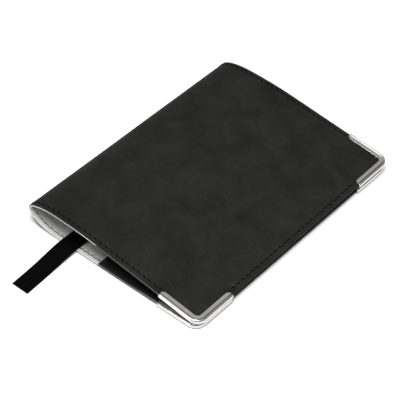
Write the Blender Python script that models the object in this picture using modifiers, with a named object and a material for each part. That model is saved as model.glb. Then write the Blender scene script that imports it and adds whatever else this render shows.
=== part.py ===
"""Pocket notebook cover: a folded sheet of lined imitation leather with two pocket flaps,
four metal corners and a ribbon marker, lying closed on its back cover.

Frame: the origin is the middle of the back cover's underside. +X runs from the spine to the
fore edge, +Y along the spine from the front end, where the ribbon comes out, to the rear end,
and +Z points up. Everything is in metres.
"""
import math

import bmesh
import bpy
from mathutils import Matrix, Vector

MM = 0.001

# Closed cover
COVER_WIDTH = 100 * MM
FRONT_WIDTH = 100.9 * MM
COVER_LENGTH = 134 * MM
FOLD_DEPTH = 17 * MM
FOLD_HEIGHT = 15.1 * MM
NOSE_HEIGHT = 9.3 * MM
FRONT_PANEL_START = 45 * MM
FRONT_PANEL_SLOPE = 0.1345
CORNER_RADIUS = 4.5 * MM

# Layers, from the outside in, and the gap between two layers
LEATHER = 0.6 * MM
LINING = 0.3 * MM
FLAP = 0.4 * MM
LAYER_GAP = 0.2 * MM
FLAP_MOUTH = 42.5 * MM

# Metal corners
METAL = 0.35 * MM
LEG_LENGTH = 22.2 * MM
FLANGE_WIDTH = 2.5 * MM
BEAD_REACH = 1.0 * MM
FLANGE_END_RADIUS = 2.0 * MM

# Seams
THREAD_RADIUS = 0.25 * MM
THREAD_GAP = 0.15 * MM
SEAM_INSET = 2.2 * MM
HEM_INSET = 2.5 * MM

# Ribbon marker, measured from the spine's nose and from the front edge
RIBBON_WIDTH = 10 * MM
RIBBON_MIDDLE = 25 * MM
RIBBON_THICKNESS = 0.3 * MM
RIBBON_CLEARANCE = 0.3 * MM
RIBBON_OVER_SEAM = 0.65 * MM
RIBBON_TAIL = 32 * MM
RIBBON_SEWN_END = 8.6 * MM
RIBBON_FROM_SEAM = 1.2 * MM
RIBBON_LIFT_START = 18.2 * MM
RIBBON_LIFT_END = 6.2 * MM
PIVOT_GAP = 1.0 * MM
TAIL_GAP = 0.6 * MM
TAIL_HINGE_OUT = 0.7 * MM
TAIL_DROP_LENGTH = 14 * MM

# The sheet's segments meet at these places on the fold's two quarter ellipses
LOWER_CUT = math.radians(28.7)
UPPER_CUT = math.radians(38)
SEGMENT_GAP = 0.4 * MM

# Worked out
SPINE_X = -COVER_WIDTH / 2
FRONT_Y = -COVER_LENGTH / 2
REAR_Y = COVER_LENGTH / 2
LINING_DEPTH = LEATHER + LAYER_GAP
FLAP_DEPTH = LINING_DEPTH + LINING + LAYER_GAP
STACK = FLAP_DEPTH + FLAP
METAL_HALF = STACK / 2 + LAYER_GAP + METAL
FORE_RISE = LAYER_GAP + METAL
RISE_START = 60 * MM
RISE_END = 76 * MM
THREAD_OFFSET = THREAD_GAP + THREAD_RADIUS
LEG_CLEARANCE = 0.5 * MM
LEG_START = COVER_WIDTH - LEG_LENGTH - LEG_CLEARANCE


def clear_scene():
    for old in list(bpy.data.objects):
        bpy.data.objects.remove(old)


def new_collection(name):
    collection = bpy.data.collections.new(name)
    bpy.context.scene.collection.children.link(collection)
    return collection


def make_material(name, colour, roughness, metallic=0.0):
    material = bpy.data.materials.new(name)
    material.use_nodes = True
    shader = material.node_tree.nodes["Principled BSDF"]
    shader.inputs["Base Color"].default_value = (*colour, 1.0)
    shader.inputs["Roughness"].default_value = roughness
    shader.inputs["Metallic"].default_value = metallic
    return material


clear_scene()
PARTS = new_collection("pocket_notebook_cover")
GUIDES = new_collection("guides")
NUBUCK = make_material("nubuck_imitation_leather", (0.025, 0.025, 0.024), 0.75)
TEXTILE = make_material("lining_textile", (0.42, 0.42, 0.41), 0.9)
FLAP_LEATHER = make_material("pocket_imitation_leather", (0.012, 0.012, 0.012), 0.6)
NICKEL = make_material("polished_nickel", (0.75, 0.75, 0.75), 0.15, 1.0)
SATIN = make_material("satin_ribbon", (0.008, 0.008, 0.009), 0.45)
THREAD = make_material("sewing_thread", (0.006, 0.006, 0.006), 0.6)


# The sheet's outer surface, seen from the front end: (distance from the spine's nose, height)

def smoothstep(value):
    value = min(max(value, 0.0), 1.0)
    return value * value * (3 - 2 * value)


def back_panel(distance):
    """The back cover lies flat and rises over the metal corners' lower flanges."""
    share = (distance - RISE_START) / (RISE_END - RISE_START)
    return distance, FORE_RISE * smoothstep(share)


def lower_fold(angle):
    """From the nose, at angle 0, down to the back cover, at a right angle."""
    return FOLD_DEPTH * (1 - math.cos(angle)), NOSE_HEIGHT * (1 - math.sin(angle))


def upper_fold(angle):
    """From the nose, at angle 0, up to the front cover, at a right angle."""
    rise = (FOLD_HEIGHT - NOSE_HEIGHT) * math.sin(angle)
    return FOLD_DEPTH * (1 - math.cos(angle)), NOSE_HEIGHT + rise


def front_panel(distance):
    """The front cover bends down from the fold's top and is then flat to its fore edge."""
    bend = FRONT_PANEL_START - FOLD_DEPTH
    bent = min(distance - FOLD_DEPTH, bend)
    straight = max(distance - FRONT_PANEL_START, 0.0)
    drop = bent * bent / (2 * bend) + straight
    return distance, FOLD_HEIGHT - FRONT_PANEL_SLOPE * drop


def spread(first, last, count):
    """Evenly spread values, first and last included."""
    return [first + (last - first) * step / (count - 1) for step in range(count)]


def cut_angle(section, angle, direction):
    """An angle half a segment gap away from a cut, measured along the surface."""
    step = 0.001
    here = Vector(section(angle))
    there = Vector(section(angle + step))
    return angle + direction * step * (SEGMENT_GAP / 2) / (there - here).length


def back_outline():
    """The back cover's outer surface from its fore edge to the fold's cut."""
    flat = [COVER_WIDTH, *spread(RISE_END, RISE_START, 9), FRONT_PANEL_START, FOLD_DEPTH]
    end = cut_angle(lower_fold, LOWER_CUT, 1)
    curved = spread(math.pi / 2, end, 9)[1:]
    return [back_panel(d) for d in flat] + [lower_fold(a) for a in curved]


def spine_outline():
    lower = spread(cut_angle(lower_fold, LOWER_CUT, -1), 0.0, 6)
    upper = spread(0.0, cut_angle(upper_fold, UPPER_CUT, -1), 7)[1:]
    return [lower_fold(a) for a in lower] + [upper_fold(a) for a in upper]


def front_outline():
    curved = spread(cut_angle(upper_fold, UPPER_CUT, 1), math.pi / 2, 8)[:-1]
    flat = [*spread(FOLD_DEPTH, FRONT_PANEL_START, 7), FRONT_WIDTH]
    return [upper_fold(a) for a in curved] + [front_panel(d) for d in flat]


def inset(outline, depth):
    """The outline moved inwards by depth, to the right of its direction of travel."""
    moved = []
    last = len(outline) - 1
    for index, (distance, height) in enumerate(outline):
        before = outline[max(index - 1, 0)]
        after = outline[min(index + 1, last)]
        along = Vector((after[0] - before[0], after[1] - before[1])).normalized()
        moved.append((distance + along.y * depth, height - along.x * depth))
    return moved


def place(distance, height, y):
    """A point in the object's frame from a point of an outline."""
    return Vector((SPINE_X + distance, y, height))


# Makers of single pieces

def add_piece(name, mesh, material, collection=PARTS):
    piece = bpy.data.objects.new(name, mesh)
    collection.objects.link(piece)
    mesh.materials.clear()
    mesh.materials.append(material)
    return piece


def move_origin(piece, point):
    """Put a moving piece's origin on its joint's axis."""
    piece.data.transform(Matrix.Translation(-point))
    piece.location = point


def strip(name, rail, other_rail, thickness, material, rounded=(), origin=None):
    """A sheet between two rails of points. Its thickness goes in, away from its face."""
    bm = bmesh.new()
    first = [bm.verts.new(point) for point in rail]
    second = [bm.verts.new(point) for point in other_rail]
    for index in range(len(rail) - 1):
        bm.faces.new((first[index], first[index + 1], second[index + 1], second[index]))
    corners = [verts[index] for verts in (first, second) for index in rounded]
    if corners:
        bmesh.ops.bevel(bm, geom=corners, offset=CORNER_RADIUS, segments=6, profile=0.5,
                        affect="VERTICES")
    mesh = bpy.data.meshes.new(name)
    bm.to_mesh(mesh)
    bm.free()
    piece = add_piece(name, mesh, material)
    wall = piece.modifiers.new("thickness", "SOLIDIFY")
    wall.thickness = thickness
    wall.offset = -1
    wall.use_even_offset = True
    if origin is not None:
        move_origin(piece, origin)
    return piece


def layer(name, outline, depth, thickness, material, rounded=(), origin=None):
    """One layer of the folded cover, as long as the spine, at a depth below its face."""
    line = inset(outline, depth)
    rail = [place(distance, height, FRONT_Y) for distance, height in line]
    other_rail = [place(distance, height, REAR_Y) for distance, height in line]
    return strip(name, rail, other_rail, thickness, material, rounded, origin)


def thread(name, points, origin=None):
    """A run of seam: one thin round tube."""
    curve = bpy.data.curves.new(name, "CURVE")
    curve.dimensions = "3D"
    curve.bevel_depth = THREAD_RADIUS
    curve.bevel_resolution = 2
    curve.use_fill_caps = True
    spline = curve.splines.new("POLY")
    spline.points.add(len(points) - 1)
    for spot, point in zip(spline.points, points):
        spot.co = (*point, 1.0)
    piece = bpy.data.objects.new(name, curve)
    PARTS.objects.link(piece)
    curve.materials.append(THREAD)
    if origin is not None:
        curve.transform(Matrix.Translation(-origin))
        piece.location = origin
    return piece


# The folded sheet, its lining and the pocket flaps

LOWER_HINGE = place(*lower_fold(LOWER_CUT), 0.0)
UPPER_HINGE = place(*upper_fold(UPPER_CUT), 0.0)


def flap_outline(outline):
    """The part of an outline from the fore edge to the flap's mouth."""
    return [point for point in outline if point[0] > FLAP_MOUTH]


def make_back_cover():
    outline = back_outline()
    layer("back_cover_leather", outline, 0.0, LEATHER, NUBUCK, rounded=[0])
    layer("back_lining", outline, LINING_DEPTH, LINING, TEXTILE, rounded=[0])
    pocket = flap_outline(outline) + [back_panel(FLAP_MOUTH)]
    layer("back_pocket_flap", pocket, FLAP_DEPTH, FLAP, FLAP_LEATHER, rounded=[0])


def make_spine():
    outline = spine_outline()
    layer("spine_leather", outline, 0.0, LEATHER, NUBUCK, origin=LOWER_HINGE)
    layer("spine_lining", outline, LINING_DEPTH, LINING, TEXTILE, origin=LOWER_HINGE)


def make_front_cover():
    outline = front_outline()
    last = [len(outline) - 1]
    layer("front_cover_leather", outline, 0.0, LEATHER, NUBUCK, last, UPPER_HINGE)
    layer("front_lining", outline, LINING_DEPTH, LINING, TEXTILE, last, UPPER_HINGE)
    pocket = [front_panel(FLAP_MOUTH)] + flap_outline(outline)
    last = [len(pocket) - 1]
    layer("front_pocket_flap", pocket, FLAP_DEPTH, FLAP, FLAP_LEATHER, last, UPPER_HINGE)


# Metal corners: a channel, bent round the corner of the stack of layers

def channel_section():
    """Half a turn of bead outside the edge and two flanges, as (outwards, up)."""
    bead_middle = BEAD_REACH - METAL_HALF
    slot_half = STACK / 2 + LAYER_GAP
    bead = [(bead_middle + METAL_HALF * math.sin(angle), METAL_HALF * math.cos(angle))
            for angle in spread(0.0, math.pi, 11)]
    flange_end = -FLANGE_WIDTH
    section = [(flange_end, METAL_HALF), *bead, (flange_end, -METAL_HALF)]
    section += [(flange_end, -slot_half), (LAYER_GAP, -slot_half)]
    section += [(LAYER_GAP, slot_half), (flange_end, slot_half)]
    return section


def corner_path(side):
    """The edge of the stack round one corner: side is -1 at the front end, 1 at the rear."""
    middle = Vector((-CORNER_RADIUS, side * (COVER_LENGTH / 2 - CORNER_RADIUS), 0.0))
    path = [Vector((-LEG_LENGTH, side * COVER_LENGTH / 2, 0.0))]
    for angle in spread(math.pi / 2, 0.0, 9):
        around = Vector((math.cos(angle), side * math.sin(angle), 0.0))
        path.append(middle + CORNER_RADIUS * around)
    path.append(Vector((0.0, side * (COVER_LENGTH / 2 - LEG_LENGTH), 0.0)))
    return path


def make_corner_mesh(name, side):
    """The channel along its path, in a frame at the middle of the fore edge's stack."""
    section = bpy.data.curves.new(name + "_section", "CURVE")
    section.dimensions = "2D"
    points = channel_section()
    outline = section.splines.new("POLY")
    outline.points.add(len(points) - 1)
    for spot, (outwards, up) in zip(outline.points, points):
        spot.co = (-side * outwards, up, 0.0, 1.0)
    outline.use_cyclic_u = True
    guide = bpy.data.objects.new(name + "_section", section)
    GUIDES.objects.link(guide)
    guide.hide_render = True
    guide.display_type = "WIRE"

    channel = bpy.data.curves.new(name + "_path", "CURVE")
    channel.dimensions = "3D"
    channel.twist_mode = "Z_UP"
    channel.bevel_mode = "OBJECT"
    channel.bevel_object = guide
    channel.use_fill_caps = True
    route = corner_path(side)
    spline = channel.splines.new("POLY")
    spline.points.add(len(route) - 1)
    for spot, point in zip(spline.points, route):
        spot.co = (*point, 1.0)
    swept = bpy.data.objects.new(name + "_path", channel)
    GUIDES.objects.link(swept)
    bpy.context.view_layer.update()
    evaluated = swept.evaluated_get(bpy.context.evaluated_depsgraph_get())
    mesh = bpy.data.meshes.new_from_object(evaluated)
    mesh.name = name
    bpy.data.objects.remove(swept)
    bpy.data.objects.remove(guide)
    return mesh


def round_flange_ends(mesh, side):
    """Weld the swept channel's caps and round the free corner at each end of each flange."""
    bm = bmesh.new()
    bm.from_mesh(mesh)
    bmesh.ops.remove_doubles(bm, verts=bm.verts, dist=0.000001)
    bmesh.ops.recalc_face_normals(bm, faces=bm.faces)
    inner_x = -FLANGE_WIDTH
    inner_y = side * (COVER_LENGTH / 2 - FLANGE_WIDTH)
    ends = [Vector((-LEG_LENGTH, inner_y)),
            Vector((inner_x, side * (COVER_LENGTH / 2 - LEG_LENGTH)))]
    corners = []
    for edge in bm.edges:
        low, high = (vert.co for vert in edge.verts)
        upright = (low.xy - high.xy).length < 0.00001
        if upright and any((low.xy - end).length < 0.0001 for end in ends):
            corners.append(edge)
    bmesh.ops.bevel(bm, geom=corners, offset=FLANGE_END_RADIUS, segments=5, profile=0.5,
                    affect="EDGES")
    bm.to_mesh(mesh)
    bm.free()
    mesh.shade_smooth()
    mesh.set_sharp_from_angle(angle=math.radians(35))


def stack_frame(panel, width, slope):
    """A frame at the fore edge, half-way through the stack, tilted with its panel."""
    distance, height = panel(width)
    inwards = 1 if panel is back_panel else -1
    lean = math.atan(slope)
    normal = Vector((math.sin(lean), 0.0, math.cos(lean)))
    middle = place(distance, height, 0.0) + inwards * (STACK / 2) * normal
    return Matrix.Translation(middle) @ Matrix.Rotation(lean, 4, "Y")


def make_corners():
    for end, side in (("front", -1), ("rear", 1)):
        for cover, panel, width, slope in (
                ("back", back_panel, COVER_WIDTH, 0.0),
                ("front", front_panel, FRONT_WIDTH, FRONT_PANEL_SLOPE)):
            name = f"{cover}_corner_{end}"
            mesh = make_corner_mesh(name, side)
            round_flange_ends(mesh, side)
            mesh.transform(stack_frame(panel, width, slope))
            piece = add_piece(name, mesh, NICKEL)
            if cover == "front":
                move_origin(piece, UPPER_HINGE)


# Seams

def back_seam_depth(distance):
    """The seam lies on the lining and climbs onto the flap just before its mouth."""
    ramp_end = FLAP_MOUTH - THREAD_RADIUS - THREAD_GAP
    climb = smoothstep((distance - ramp_end + STACK) / STACK)
    on_lining = LINING_DEPTH + LINING + THREAD_OFFSET
    on_flap = STACK + THREAD_OFFSET
    return on_lining + (on_flap - on_lining) * climb


def on_back(distance, y):
    _, height = back_panel(distance)
    return place(distance, height + back_seam_depth(distance), y)


def on_front(distance, y, depth):
    before = front_panel(distance - MM)
    here = front_panel(distance)
    (distance, height), = inset([before, here], depth)[1:]
    return place(distance, height, y)


def make_back_seams():
    curved = [point for point in back_outline() if point[0] < FOLD_DEPTH]
    depth = LINING_DEPTH + LINING + THREAD_OFFSET
    into_fold = inset([back_panel(FOLD_DEPTH)] + curved, depth)[1:]
    stations = [LEG_START, RISE_START, *spread(FLAP_MOUTH, FLAP_MOUTH - 3 * STACK, 9), FOLD_DEPTH]
    for end, side in (("front", -1), ("rear", 1)):
        y = side * (COVER_LENGTH / 2 - SEAM_INSET)
        points = [on_back(distance, y) for distance in stations]
        points += [place(distance, height, y) for distance, height in into_fold]
        thread(f"back_seam_{end}_edge", points)
    reach = COVER_LENGTH / 2 - LEG_LENGTH - LEG_CLEARANCE
    fore = COVER_WIDTH - SEAM_INSET
    thread("back_seam_fore_edge", [on_back(fore, y) for y in spread(-reach, reach, 3)])
    hem = FLAP_MOUTH + HEM_INSET
    reach = COVER_LENGTH / 2 - SEAM_INSET - THREAD_RADIUS - THREAD_OFFSET
    thread("back_flap_hem_thread", [on_back(hem, y) for y in spread(-reach, reach, 3)])


def make_spine_seams():
    line = inset(spine_outline(), LINING_DEPTH + LINING + THREAD_OFFSET)
    for end, side in (("front", -1), ("rear", 1)):
        y = side * (COVER_LENGTH / 2 - SEAM_INSET)
        points = [place(distance, height, y) for distance, height in line]
        thread(f"spine_seam_{end}_edge", points, LOWER_HINGE)


def make_front_seams():
    outline = [point for point in front_outline() if point[0] < LEG_START][1:]
    outline.append(front_panel(LEG_START))
    line = inset(outline, -THREAD_OFFSET)
    for end, side in (("front", -1), ("rear", 1)):
        y = side * (COVER_LENGTH / 2 - SEAM_INSET)
        points = [place(distance, height, y) for distance, height in line]
        thread(f"front_seam_{end}_edge", points, UPPER_HINGE)
    reach = COVER_LENGTH / 2 - LEG_LENGTH - LEG_CLEARANCE
    fore = FRONT_WIDTH - SEAM_INSET
    points = [on_front(fore, y, -THREAD_OFFSET) for y in spread(-reach, reach, 3)]
    thread("front_seam_fore_edge", points, UPPER_HINGE)
    hem = FLAP_MOUTH + HEM_INSET
    reach = COVER_LENGTH / 2 - SEAM_INSET
    points = [on_front(hem, y, STACK + THREAD_OFFSET) for y in spread(-reach, reach, 3)]
    thread("front_flap_hem_thread", points, UPPER_HINGE)


# Ribbon marker: sewn down at the rear end, loose over the lining, and out over the front edge

RIBBON_LOW = LINING_DEPTH + LINING + RIBBON_CLEARANCE
SEWN_REAR = REAR_Y - SEAM_INSET - RIBBON_FROM_SEAM
PIVOT = Vector((SPINE_X + RIBBON_MIDDLE, SEWN_REAR - RIBBON_SEWN_END - PIVOT_GAP / 2, RIBBON_LOW))
TAIL_HINGE = Vector((PIVOT.x, FRONT_Y - TAIL_HINGE_OUT,
                     RIBBON_LOW + RIBBON_OVER_SEAM + RIBBON_THICKNESS / 2))


def ribbon_piece(name, line, origin=None):
    """A stretch of ribbon whose underside follows (y, height) points from rear to front."""
    half = RIBBON_WIDTH / 2
    top = [(y, height + RIBBON_THICKNESS) for y, height in line]
    rail = [Vector((PIVOT.x - half, y, height)) for y, height in top]
    other_rail = [Vector((PIVOT.x + half, y, height)) for y, height in top]
    strip(name, rail, other_rail, RIBBON_THICKNESS, SATIN, origin=origin)


def make_ribbon():
    ribbon_piece("ribbon_sewn_end",
                 [(SEWN_REAR, RIBBON_LOW), (SEWN_REAR - RIBBON_SEWN_END, RIBBON_LOW)])
    tack_y = SEWN_REAR - RIBBON_SEWN_END / 2
    tack_z = RIBBON_LOW + RIBBON_THICKNESS + THREAD_OFFSET
    half = RIBBON_WIDTH / 2
    thread("ribbon_tack_thread",
           [Vector((PIVOT.x + x, tack_y, tack_z)) for x in spread(-half, half, 3)])

    lift_end = FRONT_Y + RIBBON_LIFT_END
    lift_start = FRONT_Y + RIBBON_LIFT_START
    loose = [(PIVOT.y - PIVOT_GAP / 2, RIBBON_LOW)]
    for y in spread(lift_start, lift_end, 7):
        lift = RIBBON_OVER_SEAM * smoothstep((lift_start - y) / (lift_start - lift_end))
        loose.append((y, RIBBON_LOW + lift))
    loose.append((TAIL_HINGE.y + TAIL_GAP / 2, RIBBON_LOW + RIBBON_OVER_SEAM))
    ribbon_piece("ribbon_marker", loose, PIVOT)

    top = RIBBON_LOW + RIBBON_OVER_SEAM
    start = TAIL_HINGE.y - TAIL_GAP / 2
    tail = []
    for y in [*spread(start, start - TAIL_DROP_LENGTH, 9), FRONT_Y - RIBBON_TAIL]:
        fall = smoothstep((start - y) / TAIL_DROP_LENGTH)
        tail.append((y, top + (RIBBON_CLEARANCE - top) * fall))
    ribbon_piece("ribbon_tail", tail, TAIL_HINGE)


make_back_cover()
make_spine()
make_front_cover()
make_corners()
make_back_seams()
make_spine_seams()
make_front_seams()
make_ribbon()
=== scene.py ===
"""Pocket notebook cover: one folded sheet of imitation nubuck with a textile lining, two pocket
flaps, four nickel corners and a satin ribbon marker, lying closed on its back cover.

Lengths are in metres. +X runs from the spine to the fore edge, +Y along the spine from the end
where the ribbon comes out, and +Z points up.
"""
import math

import bpy
import numpy as np
from mathutils import Matrix, Vector, noise


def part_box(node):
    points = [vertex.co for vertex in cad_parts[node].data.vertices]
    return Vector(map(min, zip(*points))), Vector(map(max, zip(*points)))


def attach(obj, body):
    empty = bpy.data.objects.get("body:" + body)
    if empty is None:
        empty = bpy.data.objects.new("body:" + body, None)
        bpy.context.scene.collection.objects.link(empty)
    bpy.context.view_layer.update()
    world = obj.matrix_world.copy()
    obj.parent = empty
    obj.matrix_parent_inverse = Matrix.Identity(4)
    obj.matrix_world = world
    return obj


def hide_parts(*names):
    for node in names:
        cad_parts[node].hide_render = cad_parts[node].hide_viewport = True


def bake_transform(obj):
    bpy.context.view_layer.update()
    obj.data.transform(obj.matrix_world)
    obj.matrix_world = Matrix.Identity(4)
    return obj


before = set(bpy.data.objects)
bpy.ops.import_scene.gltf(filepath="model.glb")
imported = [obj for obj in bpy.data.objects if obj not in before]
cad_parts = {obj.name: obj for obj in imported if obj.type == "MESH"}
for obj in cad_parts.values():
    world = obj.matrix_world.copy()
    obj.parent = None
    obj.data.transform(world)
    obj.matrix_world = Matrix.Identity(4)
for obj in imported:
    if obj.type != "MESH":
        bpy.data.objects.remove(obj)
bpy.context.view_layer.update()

bl_info = {
    "name": "Pocket Notebook Cover",
    "version": (1, 0, 0),
    "blender": (4, 5, 0),
    "location": "3D View > Sidebar > Notebook Cover",
    "description": "Builds a folded notebook cover with metal corners and a ribbon marker",
    "category": "Add Mesh",
}

MM = 0.001

# The frame the pieces are built round
BACK_LOW, BACK_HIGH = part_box("back_cover_leather")
SPINE_LOW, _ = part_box("spine_leather")
_, FRONT_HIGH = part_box("front_cover_leather")
SPINE_X = SPINE_LOW[0]
FRONT_Y, REAR_Y = BACK_LOW[1], BACK_HIGH[1]
COVER_WIDTH = 100 * MM
FRONT_WIDTH = 100.9 * MM
COVER_LENGTH = REAR_Y - FRONT_Y
HALF_LENGTH = COVER_LENGTH / 2
FOLD_HEIGHT = FRONT_HIGH[2]
FOLD_DEPTH = 17 * MM
NOSE_HEIGHT = 9.3 * MM
FRONT_PANEL_START = 45 * MM
FRONT_PANEL_SLOPE = 0.1345
STACK = 1.7 * MM
FORE_RISE = 0.55 * MM
RISE_START = 60 * MM
RISE_END = 76 * MM

# The front cover lies a little further open at its rear end
FORE_LIFT_FRONT = -0.45 * MM
FORE_LIFT_REAR = 0.5 * MM

# The rounded outer corner of the turned fore edge
TURN_RADIUS = 0.8 * MM

# Between two layers, and between the ribbon and the lining
LAYER_GAP = 0.04 * MM
RIBBON_GAP = 0.17 * MM

# How much the ribbon climbs where it leaves over the front edge, how far inside the edge it
# starts to, over what length, and how far it then goes to lie on the floor
RIBBON_CLIMB = 0.32 * MM
CLIMB_START = 12 * MM
CLIMB_LENGTH = 8 * MM
FALL_LENGTH = 25 * MM

# Distances between a mesh's stations, along the folded sheet and along the spine
LEATHER_STEPS = {"fold": 0.45 * MM, "panel": 1.7 * MM, "rows": 1.7 * MM}
LINING_STEPS = {"fold": 0.5 * MM, "panel": 2.4 * MM, "rows": 2.2 * MM}
FLAP_STEP = 2.2 * MM

# The leather's unevenness fades out towards the cut edges
WAVE_HEIGHT = 0.05 * MM
WAVE_LENGTH = 17 * MM
CALM_EDGE = 4 * MM
CALM_RAMP = 12 * MM

# A flap's turned-in hem stands this much prouder, and its free edge slopes over the ramp
HEM_RISE = 0.3 * MM
HEM_RAMP = 1.2 * MM

# Where the groove between a corner's flange and its bead starts, from the cover's edge
GROOVE = -0.8 * MM

# Stitches turn at random by up to this angle; each end has a shallow near-black disc in its hole,
# painted shade
STITCH_JITTER = math.radians(4)
STITCH_SEED = 7
SHADE_DISC_DEPTH = 0.3 * MM
SHADE_DISC_SINK = 0.16 * MM

# From a metal corner's leg to the first stitch, and from a hem's seam to the side edges
SEAM_TO_LEG = 1.6 * MM
HEM_SEAM_END = 4.4 * MM

# The ribbon's places along the spine
SEWN_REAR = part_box("ribbon_sewn_end")[1][1]
SEWN_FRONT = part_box("ribbon_sewn_end")[0][1]
RIBBON_MIDDLE = (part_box("ribbon_sewn_end")[0][0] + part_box("ribbon_sewn_end")[1][0]) / 2
TAIL_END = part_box("ribbon_tail")[0][1]


def linear(hex_colour):
    """An sRGB hex colour as linear red, green and blue."""
    channels = [int(hex_colour[i:i + 2], 16) / 255 for i in (1, 3, 5)]
    return [c / 12.92 if c <= 0.04045 else ((c + 0.055) / 1.055) ** 2.4 for c in channels]


def length(name, description, millimetres):
    return bpy.props.FloatProperty(name=name, description=description, unit="LENGTH",
                                   default=millimetres * MM, min=0, precision=5)


def colour(name, description, hex_colour):
    return bpy.props.FloatVectorProperty(name=name, description=description, size=3, min=0,
                                         max=1, subtype="COLOR", default=linear(hex_colour))


class CoverSettings(bpy.types.PropertyGroup):
    """The folded sheet, its lining and the pocket flaps."""
    leather: length("Leather", "Thickness of the outer sheet", 0.75)
    lining: length("Lining", "Thickness of the lining", 0.4)
    flap: length("Flap", "Thickness of a pocket flap", 0.42)
    flap_mouth: length("Flap mouth", "From the spine's nose to a flap's open edge", 42.5)
    hem: length("Hem", "Width of the turned-in edge at a flap's mouth", 5.5)
    corner_radius: length("Corner radius", "Radius of the covers' corners", 4.5)
    edge_radius: length("Edge radius", "How far a cut edge is rounded over", 0.3)
    turn: length("Turn", "Thickness of the turned fore edge", 1.95)
    turn_width: length("Turn width", "How far the turned fore edge reaches in", 1.3)
    leather_dark: colour("Leather", "The buffed face where it is darkest", "#121211")
    leather_light: colour("Leather, light", "The buffed face in its light clouds", "#1F1F1D")
    leather_scuff: colour("Leather, scuffed", "Fine wisps where the nap lies over", "#33332F")
    edge_colour: colour("Cut edge", "The backing that shows at a cut edge", "#B4B4B1")
    # The dark cut edge colour is partly a flap's black layer and partly painted shade
    edge_flap_and_shade: colour("Cut edge, dark", "A cut edge with a flap's black layer in it", "#50504E")
    lining_colour: colour("Lining", "The textile lining", "#CFCECC")
    flap_colour: colour("Flap", "The smooth pocket flaps", "#121212")


class CornerSettings(bpy.types.PropertyGroup):
    """The metal corners."""
    leg: length("Leg", "Length of a corner along each edge", 22.2)
    flange: length("Flange", "Reach of the flat flange over the cover", 2.45)
    flange_rise: length("Flange rise", "From the middle of the edge to a flange's face", 1.08)
    bead: length("Bead", "Half the height of the round bead", 1.25)
    bead_width: length("Bead width", "Half the width of the round bead", 0.8)
    bead_reach: length("Bead reach", "How far the bead stands out from the edge", 0.9)
    end_radius: length("End radius", "Rounding of a flange's end", 2.0)
    metal_colour: colour("Nickel", "The polished plating", "#D8D7D4")


class SeamSettings(bpy.types.PropertyGroup):
    """All sewing."""
    pitch: length("Pitch", "From one stitch to the next", 3.1)
    stitch: length("Stitch", "Length of the thread that shows", 2.6)
    thread: length("Thread radius", "Half the thickness of the thread", 0.18)
    dip: length("Dip", "How deep a stitch's ends sink in", 0.26)
    # A needle hole's darkness is painted: a near-black disc of this radius at each stitch end
    hole: length("Needle hole", "Radius of the hole that a stitch's ends draw open", 0.42)
    slant: bpy.props.FloatProperty(name="Slant", description="Turn of a stitch off its seam",
                                   default=math.radians(14), subtype="ANGLE")
    inset: length("Inset", "From the cut edge to the seam", 2.2)
    hem_inset: length("Hem inset", "From a flap's mouth to its seam", 2.5)
    channel: length("Channel", "How deep the seam pulls the leather in", 0.14)
    thread_colour: colour("Thread", "The sewing thread", "#101010")


class RibbonSettings(bpy.types.PropertyGroup):
    """The ribbon marker."""
    width: length("Width", "Width of the ribbon", 9.5)
    thickness: length("Thickness", "Thickness of the ribbon", 0.24)
    drift: length("Drift", "How far the tail strays towards the fore edge", 1.5)
    ribbon_colour: colour("Ribbon", "The satin ribbon", "#030303")


class StageSettings(bpy.types.PropertyGroup):
    """The floor, the light and the camera."""
    floor_colour: colour("Floor", "The pale floor", "#F4F4F4")
    azimuth: bpy.props.FloatProperty(name="Azimuth", description="Camera's turn from the front",
                                     default=math.radians(41.06), subtype="ANGLE")
    elevation: bpy.props.FloatProperty(name="Elevation", description="Camera's angle above",
                                       default=math.radians(43.91), subtype="ANGLE")
    distance: length("Distance", "From the camera to what it looks at", 713.8)
    lens: bpy.props.FloatProperty(name="Lens", description="Focal length in millimetres",
                                  default=140.1, unit="CAMERA")


GROUPS = {"cover": CoverSettings, "corners": CornerSettings, "seams": SeamSettings,
          "ribbon": RibbonSettings, "stage": StageSettings}


def settings(name):
    return getattr(bpy.context.scene, "notebook_" + name)


# Outlines: the two halves of the folded sheet's outer face, seen from its front end

class Outline:
    """Points (from the nose, height) from the spine's nose to the fore edge, with normals."""

    def __init__(self, points, side):
        points = np.array(points)
        tangents = np.gradient(points, axis=0)
        tangents /= np.linalg.norm(tangents, axis=1)[:, None]
        self.points = points
        self.outwards = side * np.stack([-tangents[:, 1], tangents[:, 0]], 1)
        steps = np.linalg.norm(np.diff(points, axis=0), axis=1)
        self.along = np.concatenate([[0.0], np.cumsum(steps)])
        self.length = self.along[-1]

    def at(self, along, offset):
        """Points at lengths along the face, moved outwards by offset."""
        def sample(values):
            return np.stack([np.interp(along, self.along, values[:, k]) for k in (0, 1)], -1)
        return sample(self.points) + sample(self.outwards) * np.asarray(offset)[..., None]

    def along_at(self, distance):
        """The length along the face where it is that far from the nose."""
        return float(np.interp(distance, self.points[:, 0], self.along))


def smoothstep(value):
    value = np.clip(value, 0, 1)
    return value * value * (3 - 2 * value)


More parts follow.
